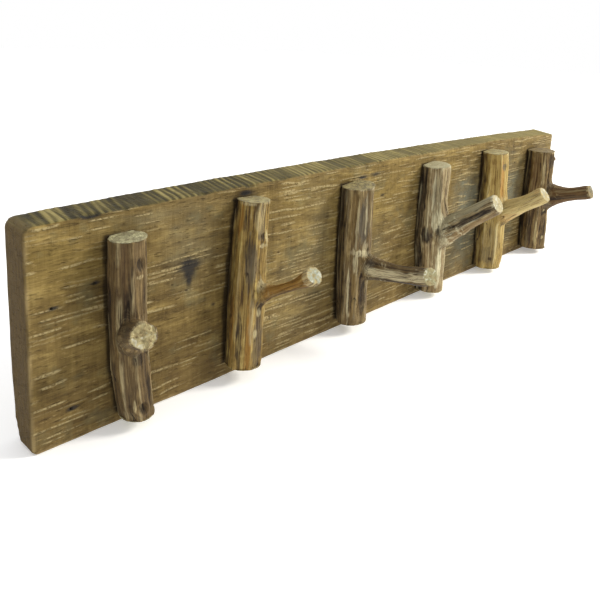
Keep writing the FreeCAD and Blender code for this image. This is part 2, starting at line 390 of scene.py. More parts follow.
def strandRows(x, z, p):  # torn pale fibres standing in rows along the plank
    total = np.zeros(x.shape)
    for n, (pitch, width) in enumerate(((p["strandPitch"], 0.11), (p["strandPitch"] * 0.43, 0.19))):
        s = z / pitch + 0.6 * grain(x / 150, z / 70, 1, 71 + n)
        s = s + 0.16 * grain(x / 22, z / 14, 2, 73 + n)
        row = np.floor(s)
        line = np.exp(-((s - row - 0.5) / width) ** 2)
        kept = smooth(-0.15, 0.4, grain(x / 24, row * 5.3, 0, 75 + n))
        kept = kept * smooth(-0.6, 0.2, grain(x / 80, z / 30, 4, 77 + n))
        total = np.maximum(total, line * kept * (1 - 0.2 * n))
    return total


def roughenPlank(mesh, co, p):
    n = normals(mesh)
    x, y, z = co.T
    onFront, onTop, onBack = (np.clip(v, 0, 1) for v in (-n[:, 1], n[:, 2], n[:, 1]))
    onEnd = np.abs(n[:, 0])
    strands = fibre(x, z, 11)
    rows = strandRows(x, z, p)
    chatter = np.sin(2 * np.pi * (x + 0.12 * z + 4 * grain(x / 60, 0, z / 60, 13)) / 9.5)
    below = strandRows(x, z + 1.9, p)
    front = 0.55 * rows - 0.45 * below - 0.9 * np.maximum(-strands - 0.3, 0) * 2
    front = front + 0.1 * chatter * smooth(-0.1, 0.6, grain(x / 110, 0, z / 70, 14))
    front = front + 0.35 * grain(x / 130, 0, z / 50, 15)
    saw = sawWave(x, y, p)
    upper = 0.42 * saw + 0.3 * grain(x / 30, y / 14, 5, 16)
    ends = 0.16 * grain(y / 3, x / 3, z / 18, 17) + 0.2 * grain(y / 12, 0, z / 40, 18)
    behind = 0.12 * np.sin(2 * np.pi * (x + 3 * grain(x / 50, 0, z / 50, 19)) / 11)
    behind = behind + 0.2 * grain(x / 60, 0, z / 9, 20)
    lift = (onFront * (front - 0.35) + onTop * (upper - 0.45)
            + onEnd * (ends - 0.3) + onBack * (behind - 0.3))
    nx, wide, deep = p["notch"]
    chip = np.exp(-((x - nx) / wide) ** 2) * np.exp(-((y - face) / 5) ** 2)
    lift = lift - deep * (chip * smooth(top - 9, top - 2, z))
    # small chips all along the arrises
    rim = smooth(5, 1.5, np.abs(y - face)) * smooth(6, 1.5, np.abs(z - top))
    lift = lift - 1.3 * rim * smooth(0.25, 0.7, grain(x / 9, 1, 2, 21))
    co = co + n * lift[:, None]
    co[:, 0] = np.clip(co[:, 0], -half, half)
    co[:, 1] = np.minimum(co[:, 1], 0)
    co[:, 2] = np.clip(co[:, 2], foot, cadHigh[2] - 0.03)
    setPoints(mesh, co)


def spots(x, z, places):
    total = np.zeros(x.shape)
    ragged = 1 + 0.55 * grainStack(x / 9, 0, z / 5, 61)
    for px, pz, wx, wz, strength in places:
        d = ((x - px) / wx) ** 2 + ((z - pz) / wz) ** 2
        total = np.maximum(total, strength * np.exp(-d * ragged))
    return total


def paintPlank(mesh, p):
    co = points(mesh)
    n = normals(mesh)
    x, y, z = co.T
    onFront = smooth(0.3, 0.8, -n[:, 1])
    addMask(mesh, "topEdge", smooth(0.45, 0.8, n[:, 2]))
    addMask(mesh, "endFace", smooth(0.5, 0.85, np.abs(n[:, 0])))
    addMask(mesh, "sawBand", 0.5 + 0.5 * sawWave(x, y, p))
    addMask(mesh, "strand", strandRows(x, z, p) * onFront)
    addMask(mesh, "rightSide", smooth(-420, 500, x))
    rim = np.abs(y - face)
    edge = np.minimum(half - np.abs(x), np.minimum(np.abs(top - z), np.abs(z - foot)))
    ragged = 1 + 0.8 * grainStack(x / 12, 0, z / 12, 62)
    wear = smooth(4.2, 0.6, edge * ragged) * smooth(3.5, 1, rim)
    wear = wear * (0.5 + 0.4 * grain(x / 20, 0, z / 20, 63))
    wear = wear * np.where(np.abs(top - z) < 6, 0.35, 1.0)
    addMask(mesh, "wornRim", wear)
    stain = smooth(0.02, 0.66, spots(x, z, p["stains"])) * smooth(6, 2, rim)
    addMask(mesh, "stain", stain)
    cloudy = 0.75 + 0.5 * grainStack(x / 22, 0, z / 12, 64)
    addMask(mesh, "blueGrey", spots(x, z, p["greys"]) * cloudy)
    cloudy = 0.8 + 0.5 * grainStack(x / 40, 0, z / 9, 65)
    addMask(mesh, "golden", spots(x, z, p["golds"]) * cloudy)
    addMask(mesh, "footDark", smooth(-20, -100, z) * 0.8)
    # painted shadow beside each stem on the front, heavier on the stem's left side away from the key
    # lamp, also meant as dirt
    shadeAndDirt = np.zeros(x.shape)
    for b in branches.values():
        rows = np.array(b["stem"], float)
        r = np.interp(z, rows[:, 0], rows[:, 2])
        middle = np.interp(z, rows[:, 0], rows[:, 1])
        out = np.abs(x - middle) - seatHalf * r + 1.5 * grain(x / 6, 0, z / 12, 66)
        low, high = rows[0, 0], rows[-1, 0]
        onLength = smooth(low - 3, low + 1, z) * smooth(high + 3, high - 1, z)
        left = np.where(x < middle, 1.0, 0.6)
        shadeAndDirt = np.maximum(shadeAndDirt, left * onLength * smooth(6.5, 2.5, out))
    addMask(mesh, "shadeAndDirt", shadeAndDirt * onFront)
    addMask(mesh, "cornerWear", smooth(12, 3, x + half) * smooth(12, 3, top - z))


def prism(bm, outline, y0, y1):
    a = [bm.verts.new((x * mm, y0 * mm, z * mm)) for x, z in outline]
    b = [bm.verts.new((x * mm, y1 * mm, z * mm)) for x, z in outline]
    bm.faces.new(a)
    bm.faces.new(b[::-1])
    for i in range(len(a)):
        j = (i + 1) % len(a)
        bm.faces.new((a[j], a[i], b[i], b[j]))


def ovalOutline(x, z, halfRise, radius, count):
    pts = []
    for i in range(count):
        a = 2 * math.pi * (i + 0.5) / count
        rise = halfRise if math.sin(a) > 0 else -halfRise
        pts.append((x + radius * math.cos(a), z + radius * math.sin(a) + rise))
    return pts


# plate and pocket of a keyhole hanger: half the straight part, radius, depth
hangers = dict(places=(-337, 337), height=52, plate=(19, 10.2, 2.0), pocket=(7, 6.5, 12.0))
# recess radius and depth of a screw head, and the screws' heights on a stem
screws = dict(heads=4.35, sink=3.1, heights=(52, -58))
proud = 3  # how far a cutter stands out of the wood


def cutPlank(piece, p):
    def cutter(name, prisms):
        bm = bmesh.new()
        for outline, y0, y1 in prisms:
            prism(bm, outline, y0, y1)
        bmesh.ops.recalc_face_normals(bm, faces=bm.faces)
        mesh = bpy.data.meshes.new(name)
        bm.to_mesh(mesh)
        bm.free()
        tool = bpy.data.objects.new(name, mesh)
        bpy.context.scene.collection.objects.link(tool)
        return tool

    def hangerCuts(size, outside, count):
        rise, radius, depth = size
        return [(ovalOutline(x, hangers["height"], rise, radius, count), outside, -depth)
                for x in hangers["places"]]
    shallow = hangerCuts(hangers["plate"], proud, 32)
    for x, z in screwPlaces:
        shallow.append((ovalOutline(x, z, 0, screws["heads"], 16), proud, -screws["sink"]))
    for x, z in p["nailHoles"]:
        outline = ovalOutline(x, z, 0, p["nailRadius"], 12)
        shallow.append((outline, face - proud, face + p["nailDepth"]))
    deep = hangerCuts(hangers["pocket"], 0, 24)
    for name, prisms in (("recessTool", shallow), ("pocketTool", deep)):
        tool = cutter(name, prisms)
        mod = piece.modifiers.new(name, "BOOLEAN")
        mod.operation = "DIFFERENCE"
        mod.solver = "MANIFOLD"
        mod.object = tool
        bpy.context.view_layer.update()
        bakeModifiers(piece)
        bpy.data.objects.remove(tool)


def plankWood():
    w = Nodes("plankWood")
    here = w.place()
    longGrain = w.noise(w.stretch(here, (9, 60, 110)), 1.0, 6, 0.66, 0.5)
    fine = w.noise(w.stretch(here, (42, 400, 700)), 1.0, 5, 0.7)
    cloud = w.noise(w.stretch(here, (7, 10, 12)), 1.0, 4, 0.6)
    across = w.noise(w.stretch(here, (330, 40, 26), (0, 0.18, 0)), 1.0, 3, 0.6)  # faint saw marks
    blotch = w.noise(here, 42, 4, 0.6)
    value = w.blend((longGrain, 1.0), (fine, 0.55), (across, 0.3), (blotch, 0.7), offset=-0.78)
    wood = w.ramp(value, (0.22, rgb(74, 58, 28)), (0.4, rgb(106, 87, 47)),
                  (0.56, rgb(128, 107, 60)), (0.78, rgb(163, 141, 85)))
    wood = w.mix(w.ramp(cloud, (0.38, 0.0), (0.66, 0.55)), wood, rgb(92, 75, 44))
    golden = w.times(w.mask("golden"), w.ramp(fine, (0.35, 0.3), (0.6, 0.75)))
    wood = w.mix(golden, wood, rgb(154, 132, 70))
    wood = w.mix(w.times(w.mask("footDark"), 0.4), wood, rgb(92, 72, 44))
    green = w.ramp(w.noise(here, 26, 3, 0.6), (0.55, 0.0), (0.68, 0.45))
    wood = w.mix(green, wood, rgb(104, 100, 72))
    greyShare = w.times(w.mask("blueGrey"), w.ramp(across, (0.35, 0.7), (0.6, 1.0)))
    wood = w.mix(w.times(greyShare, 0.9), wood, rgb(104, 106, 91))
    # pale torn fibres and the dark gaps beside them
    dots = w.ramp(w.noise(w.stretch(here, (340, 100, 260)), 1.0, 3, 0.6), (0.36, 0.15), (0.54, 1.0))
    strand = w.times(w.ramp(w.mask("strand"), (0.12, 0.0), (0.5, 1.0)), dots)
    loose = w.ramp(w.noise(w.stretch(here, (80, 100, 460)), 1.0, 3, 0.6), (0.57, 0.0), (0.7, 0.8))
    loose = w.times(loose, dots)
    wood = w.mix(w.times(loose, 0.6), wood, rgb(174, 150, 98))
    wood = w.mix(w.times(strand, 0.8), wood, rgb(178, 160, 114))
    dark = w.ramp(w.noise(w.stretch(here, (85, 200, 460)), 1.0, 3, 0.55), (0.3, 1.0), (0.42, 0.0))
    wood = w.mix(w.times(dark, 0.5), wood, rgb(62, 44, 20))
    # painted shadow and dirt beside the stems
    wood = w.mix(w.times(w.mask("shadeAndDirt"), 0.85), wood, rgb(34, 25, 14))
    pits = w.ramp(w.noise(w.stretch(here, (80, 90, 200)), 1.0, 1, 0.3), (0.17, 1.0), (0.22, 0.0))
    wood = w.mix(w.times(pits, 0.75), wood, rgb(44, 30, 16))
    # sawn top edge in dark and light bands
    scratch = w.noise(w.stretch(here, (520, 30, 60), (0, 0, 0.13)), 1.0, 3, 0.6)
    sawn = w.blend((w.mask("sawBand"), 1.0), (scratch, 0.8), offset=-0.4)
    band = w.ramp(sawn, (0.2, rgb(48, 44, 27)), (0.42, rgb(74, 67, 39)),
                  (0.6, rgb(103, 93, 53)), (0.85, rgb(148, 135, 84)))
    band = w.mix(w.ramp(blotch, (0.4, 0.0), (0.7, 0.5)), band, rgb(84, 74, 42))
    band = w.mix(w.times(w.mask("rightSide"), 0.55), band, rgb(146, 132, 78))
    wood = w.mix(w.mask("topEdge"), wood, band)
    rings = w.noise(w.stretch(here, (90, 330, 60)), 1.0, 5, 0.6)
    endWood = w.ramp(rings, (0.3, rgb(70, 54, 26)), (0.55, rgb(87, 69, 34)), (0.75, rgb(100, 82, 44)))
    wood = w.mix(w.mask("endFace"), wood, endWood)
    wood = w.mix(w.times(w.mask("cornerWear"), 0.75), wood, rgb(120, 104, 70))
    wood = w.mix(w.times(w.mask("wornRim"), 0.8), wood, rgb(172, 150, 104))
    stain = w.times(w.mask("stain"), w.ramp(fine, (0.3, 0.98), (0.7, 0.8)))
    wood = w.mix(stain, wood, rgb(36, 36, 38))
    w.give(w.shader.inputs["Base Color"], wood)
    w.give(w.shader.inputs["Roughness"], w.ramp(fine, (0.3, 0.6), (0.7, 0.8)))
    w.shader.inputs["Specular IOR Level"].default_value = 0.14
    bump = w.bump(fine, 0.0008, 0.8)
    bump = w.bump(longGrain, 0.0016, 0.7, bump)
    bump = w.bump(across, 0.0010, 0.6, bump)
    bump = w.bump(strand, 0.0009, 0.9, bump)
    bump = w.bump(dark, -0.0010, 0.8, bump)
    w.give(w.shader.inputs["Normal"], bump)
    return w.mat


# stem is (z, x, radius) from foot to top; prong is start, middle and tip. A patch is (where along,
# angle, length, width in degrees, kind, strength). On a stem angle 0 faces the room and + is right,
# on a prong 0 is above and 90 is left. Ridges are the angles where flat hewn sides meet.
# Dents and bumps are (height, angle, size, depth). lines is the strength of dark fibres in percent.
# The long "dark" stem patches at about -90 to -122 degrees are painted shade on each stem's left side,
# away from the key lamp.
branches = {
    "hook_1": dict(
        stem=[(-96.8, -401.6, 18.2), (-60, -406.4, 19), (-28, -409, 19), (22, -410.4, 18.8),
              (83.5, -410.3, 18)],
        prong=[(-409.8, -53.7, -12), (-425, -92, 5), (-446, -134.6, 27.3)],
        prongRadius=11.8, waist=0.0, tipLean=(0.0, 0.12), tornTip=2.6, knob=0.7, swirl=0.9,
        tones=dict(deep=(56, 41, 21), mid=(94, 75, 44), light=(134, 112, 72), pale=(176, 160, 118),
                   grey=(88, 78, 60), warm=(112, 84, 46), bark=(34, 24, 12), cut=(208, 204, 160),
                   tip=(192, 178, 130), lines=40),
        ridges=[-112, -62, -18, 34, 90], ridgeLight=0.75,
        stemPatches=[
            (60, 8, 6, 13, "dark", 0.95), (49, 8, 2.2, 14, "pale", 0.9),
            (60, -40, 30, 10, "warm", 0.4), (20, -55, 12, 6, "pale", 0.7),
            (-4, -62, 16, 5, "pale", 0.8), (-2, -46, 22, 9, "dark", 0.6),
            # (3, -5) is painted shadow of the prong's tip on the stem
            (3, -5, 5, 22, "dark", 0.9), (-31, -8, 7, 20, "dark", 0.8),
            (-62, 24, 14, 5, "dark", 0.8), (-83, -14, 6, 13, "dark", 1.0),
            (-80, -34, 7, 5, "pale", 1.0), (-60, -62, 30, 5, "pale", 0.6),
            (-60, -14, 20, 4, "pale", 0.6), (-90, -60, 5, 20, "pale", 0.4),
            (-20, -110, 60, 20, "dark", 0.7)],
        prongPatches=[(40, 90, 40, 60, "grey", 0.5)],
        dents=[(60, 8, 5, 1.6), (-83, -14, 5.5, 3.2)], bumps=[(50, 8, 3.5, 0.8), (-88, -40, 4, 0.7)]),
    "hook_2": dict(
        stem=[(-90.7, -268.7, 20.6), (-39, -267.9, 21.6), (-5, -267, 21.3), (28.7, -264.6, 20.4),
              (56, -262.2, 19.2), (95, -258.4, 18.1)],
        prong=[(-267.3, -55.3, -11), (-256, -95, 1), (-247.8, -136, 31)],
        prongRadius=7.6, waist=2.2, tipLean=(0.3, 0.1), knob=1.3, swirl=0.6,
        tones=dict(deep=(80, 58, 22), mid=(140, 114, 58), light=(186, 162, 96),
                   pale=(190, 176, 132), grey=(80, 72, 60), warm=(158, 112, 44), bark=(36, 24, 12),
                   cut=(176, 168, 124), tip=(170, 176, 158), lines=70),
        ridges=[-125, -70, -22, 30, 84], ridgeLight=0.3,
        stemPatches=[
            (46, -46, 13, 20, "dark", 0.5), (30, -30, 26, 22, "grey", 0.9),
            (60, -10, 6, 10, "grey", 0.8), (58, 22, 7, 5, "pale", 1.0), (48, 8, 2, 18, "pale", 0.8),
            (58, 9, 3.5, 8, "dark", 0.8), (76, -84, 20, 12, "warm", 0.9),
            (-60, -30, 46, 9, "warm", 0.8), (-30, -24, 30, 7, "pale", 0.35),
            (-60, -58, 34, 7, "dark", 0.9), (-10, -100, 90, 14, "dark", 0.7),
            (-40, -88, 40, 10, "warm", 0.8), (-58, 6, 36, 20, "grey", 0.7),
            (-26, 6, 5, 9, "pale", 0.9), (-49, -2, 5, 9, "pale", 0.9),
            (-20, 10, 12, 9, "dark", 0.7), (5, 6, 6, 16, "pale", 0.8),
            (78, -12, 18, 26, "pale", 0.5), (80, -66, 14, 4, "dark", 0.8)],
        prongPatches=[(40, 90, 60, 200, "warm", 0.8), (45, 90, 60, 200, "dark", 0.2),
            # the "dark" patch at 150 degrees is painted shade on the prong's underside
            (45, 150, 60, 34, "dark", 0.8), (-3, 90, 5, 400, "pale", 0.75)],
        dents=[(58, 6, 3.5, 1.2)], bumps=[(54, 16, 5, 1.0), (4, 6, 8, 0.8)]),
    "hook_3": dict(
        stem=[(-94, -83.6, 20.2), (-45, -86.6, 21.2), (9, -87.2, 21.6), (42, -86.5, 21.2),
              (86.8, -85.4, 20.8)],
        prong=[(-87, -55.4, -14), (-78, -108, -18.5), (-64.5, -156.4, -9.2)],
        prongRadius=11, waist=0.4, tipLean=(0.5, 0.12), flare=1.2, swirl=1.0,
        tones=dict(deep=(52, 37, 18), mid=(104, 84, 50), light=(154, 134, 90), pale=(196, 184, 146),
                   grey=(76, 71, 60), warm=(142, 116, 66), bark=(32, 22, 12), cut=(172, 160, 112),
                   tip=(156, 152, 114), lines=60),
        ridges=[-120, -82, -40, 10, 60], ridgeLight=0.3,
        stemPatches=[
            (40, -108, 90, 15, "dark", 0.95), (42, -22, 30, 22, "grey", 0.9),
            (40, -46, 36, 4, "pale", 0.6), (50, -12, 22, 4, "pale", 0.7),
            (4, -26, 4, 36, "pale", 1.0), (-6, -48, 9, 6, "pale", 0.9),
            (12, -8, 8, 14, "pale", 0.5), (52, -64, 34, 9, "warm", 0.5),
            (-50, -66, 42, 4.5, "pale", 1.0), (-10, -44, 12, 8, "pale", 0.8),
            (-56, -4, 26, 17, "dark", 0.8), (-50, -40, 36, 14, "warm", 0.7),
            (-40, -100, 60, 12, "dark", 0.75), (76, -96, 16, 6, "pale", 0.3)],
        prongPatches=[(60, 22, 70, 30, "dark", 0.25), (64, 92, 60, 34, "pale", 1.0),
            # the "dark" patch at 150 degrees is painted shade on the prong's underside
            (60, 150, 60, 26, "dark", 0.7), (22, 60, 14, 40, "grey", 0.8),
            (105, 90, 12, 60, "pale", 0.4)],
        dents=[], bumps=[(3, -26, 7, 1.2), (82, -50, 6, 0.4)]),
    "hook_4": dict(
        stem=[(-99.2, 98.6, 19.4), (-70, 94.4, 20.6), (-35, 89.7, 21.6), (26, 86.4, 20.8),
              (56, 87, 20.2), (92.5, 88.4, 19.4)],
        prong=[(88.4, -55.5, -16), (97, -100, 18), (111.3, -142.8, 49.8)],
        prongRadius=14.6, waist=0.0, tipLean=(0.22, -0.1), flare=2.2, swirl=1.8,
        tones=dict(deep=(76, 58, 34), mid=(144, 125, 88), light=(192, 176, 134),
                   pale=(214, 207, 170), grey=(156, 150, 120), warm=(124, 98, 58),
                   bark=(34, 25, 16), cut=(184, 178, 140), tip=(176, 166, 128), lines=55),
        ridges=[-128, -78, -28, 26, 80], ridgeLight=0.6,
        stemPatches=[
            (50, -104, 60, 13, "dark", 0.9), (50, -44, 36, 22, "grey", 0.5),
            (60, -58, 30, 5, "pale", 0.6), (-8, -82, 13, 22, "dark", 1.0),
            (12, -30, 15, 28, "pale", 1.0), (-54, -18, 32, 16, "pale", 0.95),
            (-56, -70, 34, 20, "warm", 0.5), (-60, -112, 50, 20, "dark", 1.0),
            (-92, -50, 7, 60, "warm", 0.7)],
        prongPatches=[(24, 62, 12, 46, "pale", 1.0), (20, 130, 8, 30, "pale", 0.8),
            (64, 26, 60, 44, "grey", 1.0), (74, 96, 46, 20, "dark", 1.0),
            (60, 142, 60, 24, "warm", 0.9), (50, 112, 50, 6, "pale", 0.4)],
        dents=[(-14, -84, 6, 1.2)], bumps=[(10, -22, 11, 1.8), (-34, -10, 8, 0.6)]),
    "hook_5": dict(
        stem=[(-99.7, 265.4, 21.2), (-64, 263.4, 22.4), (-28, 261.3, 22.4), (31, 259.8, 21.6),
              (94.4, 256.2, 20.6)],
        prong=[(260.7, -56.2, -12), (264, -98, 8), (267.2, -139.3, 39.4)],
        prongRadius=13, waist=0.6, flare=1.6, swirl=0.6,
        tones=dict(deep=(124, 96, 48), mid=(170, 144, 80), light=(198, 174, 110),
                   pale=(214, 200, 148), grey=(98, 88, 66), warm=(176, 128, 60), bark=(54, 36, 20),
                   cut=(172, 164, 120), tip=(168, 160, 130), lines=35),
        ridges=[-130, -86, -34, 24, 80], ridgeLight=0.35,
        stemPatches=[
            (72, -6, 6, 14, "grey", 1.0), (10, -116, 90, 15, "dark", 0.8),
            (-40, -108, 60, 14, "dark", 0.6), (-60, -56, 40, 46, "grey", 0.5),
            (-76, -66, 16, 34, "grey", 0.8), (-82, -50, 3, 10, "dark", 0.9),
            (46, -18, 30, 14, "warm", 0.8), (-18, -6, 8, 16, "dark", 1.0),
            (-34, -56, 22, 5, "dark", 0.6), (16, -14, 6, 18, "pale", 0.8),
            (-50, -30, 40, 8, "pale", 0.5)],
        prongPatches=[(70, 70, 60, 200, "pale", 0.55), (92, 40, 5, 22, "warm", 0.9),
            (30, 140, 20, 40, "warm", 0.9)],
        dents=[(72, -6, 4.5, 0.9)], bumps=[(16, -14, 8, 0.7)]),
    "hook_6": dict(
        stem=[(-98.7, 426.3, 23.4), (-57, 422.1, 24.4), (-9, 418.6, 24.4), (36, 420, 25),
              (81.3, 418.2, 24.4)],
        prong=[(418.8, -57.6, 1), (420.5, -102, 6), (423.5, -150.8, 22.8)],
        prongRadius=12.2, waist=0.4, flare=2.6, swirl=0.8,
        tones=dict(deep=(58, 41, 21), mid=(112, 90, 54), light=(160, 138, 92), pale=(190, 174, 126),
                   grey=(94, 86, 74), warm=(84, 58, 28), bark=(30, 21, 12), cut=(140, 124, 84),
                   tip=(96, 93, 72), lines=60),
        ridges=[-128, -92, -50, 0, 60], ridgeLight=0.35,
        stemPatches=[
            (30, -122, 120, 16, "dark", 1.0), (46, -46, 28, 7, "pale", 0.7),
            (40, -82, 30, 14, "warm", 0.6), (64, -10, 12, 20, "dark", 0.8),
            (0, -16, 22, 26, "grey", 0.95), (-7, -12, 4, 8, "pale", 1.0),
            (-26, -22, 6, 14, "dark", 0.9), (-24, -22, 2.5, 5, "pale", 1.0),
            (-64, -54, 20, 6, "pale", 0.9), (-60, -90, 40, 14, "dark", 0.7),
            (-76, -16, 3, 6, "pale", 0.9), (-60, -20, 30, 14, "dark", 0.4)],
        prongPatches=[(60, 60, 70, 200, "warm", 1.0), (70, 110, 50, 14, "dark", 0.8),
            (70, 62, 40, 10, "pale", 0.35)],
        dents=[(-26, -20, 4, 1.0)],
        bumps=[(66, 44, 5, 0.5), (48, 40, 4, 0.9), (-7, -12, 4, 1.0), (-24, -22, 2.5, 1.0)]),
}
seatRatio, seatHalf = 0.72, 0.69  # depth of a stem's axis and half width of its flat, over the radius
pathSteps = 60  # points along a prong
forkStep, throatStep = 18, 20  # the points where growth rings centre and where flat sides fade
screwPlaces = []
for b in branches.values():
    rows = np.array(b["stem"], float)
    for z in screws["heights"]:
        screwPlaces.append((float(np.interp(z, rows[:, 0], rows[:, 1])), z))
voxel = 0.75  # size of the even grid that a branch is remade with


def branchPlaces(co, b):  # where every point lies on the stem and on the prong
    x, y, z = co.T
    rows = np.array(b["stem"], float)
    r = np.interp(z, rows[:, 0], rows[:, 2])
    dx = x - np.interp(z, rows[:, 0], rows[:, 1])
    dy = y - (face - seatRatio * r)
    stem = dict(r=r, away=np.hypot(dx, dy), angle=np.degrees(np.arctan2(dx, -dy)), along=z)
    start, mid, tip = (np.array(v, float) for v in b["prong"])
    t = np.linspace(0, 1, pathSteps)[:, None]
    path = start * (1 - t) ** 2 + mid * 2 * t * (1 - t) + tip * t ** 2
    steps = np.r_[0, np.cumsum(np.linalg.norm(np.diff(path, axis=0), axis=1))]
    best = np.full(len(co), 1e9)
    near = np.zeros(len(co), int)
    for i, q in enumerate(path):
        d = np.einsum("ij,ij->i", co - q, co - q)
        closer = d < best
        best[closer] = d[closer]
        near[closer] = i
    ahead = np.gradient(path, axis=0)
    ahead /= np.linalg.norm(ahead, axis=1)[:, None]
    side = np.cross(ahead, [0, 0, 1.0])
    side /= np.linalg.norm(side, axis=1)[:, None]
    up = np.cross(side, ahead)
    off = co - path[near]
    along = steps[near] + np.einsum("ij,ij->i", off, ahead[near])
    turn = np.arctan2(np.einsum("ij,ij->i", off, side[near]), np.einsum("ij,ij->i", off, up[near]))
    prong = dict(r=np.full(len(co), b["prongRadius"]), away=np.sqrt(best), angle=np.degrees(turn),
                 along=along, full=steps[-1])
    share = smooth(1.04, 1.42, stem["away"] / r)
    return stem, prong, share, path


def hewnSides(angle, along, r, ridges, seed):  # how far flat sides lie under the round, and ridges
    a = angle + 8 * grain(along / 45, 0.5, 0.5, seed + 20) + 2 * grain(along / 9, 0.5, 0.5, seed + 21)
    edges = np.array([-175] + ridges + [150])
    i = np.clip(np.searchsorted(edges, a) - 1, 0, len(edges) - 2)
    mid, wide = (edges[i] + edges[i + 1]) / 2, (edges[i + 1] - edges[i]) / 2
    off = np.minimum(np.abs(a - mid), wide)
    sink = r * (1 - np.cos(np.radians(wide)) / np.cos(np.radians(off)))
    return np.clip(sink, 0, 2.2), np.exp(-((wide - off) / 5) ** 2)


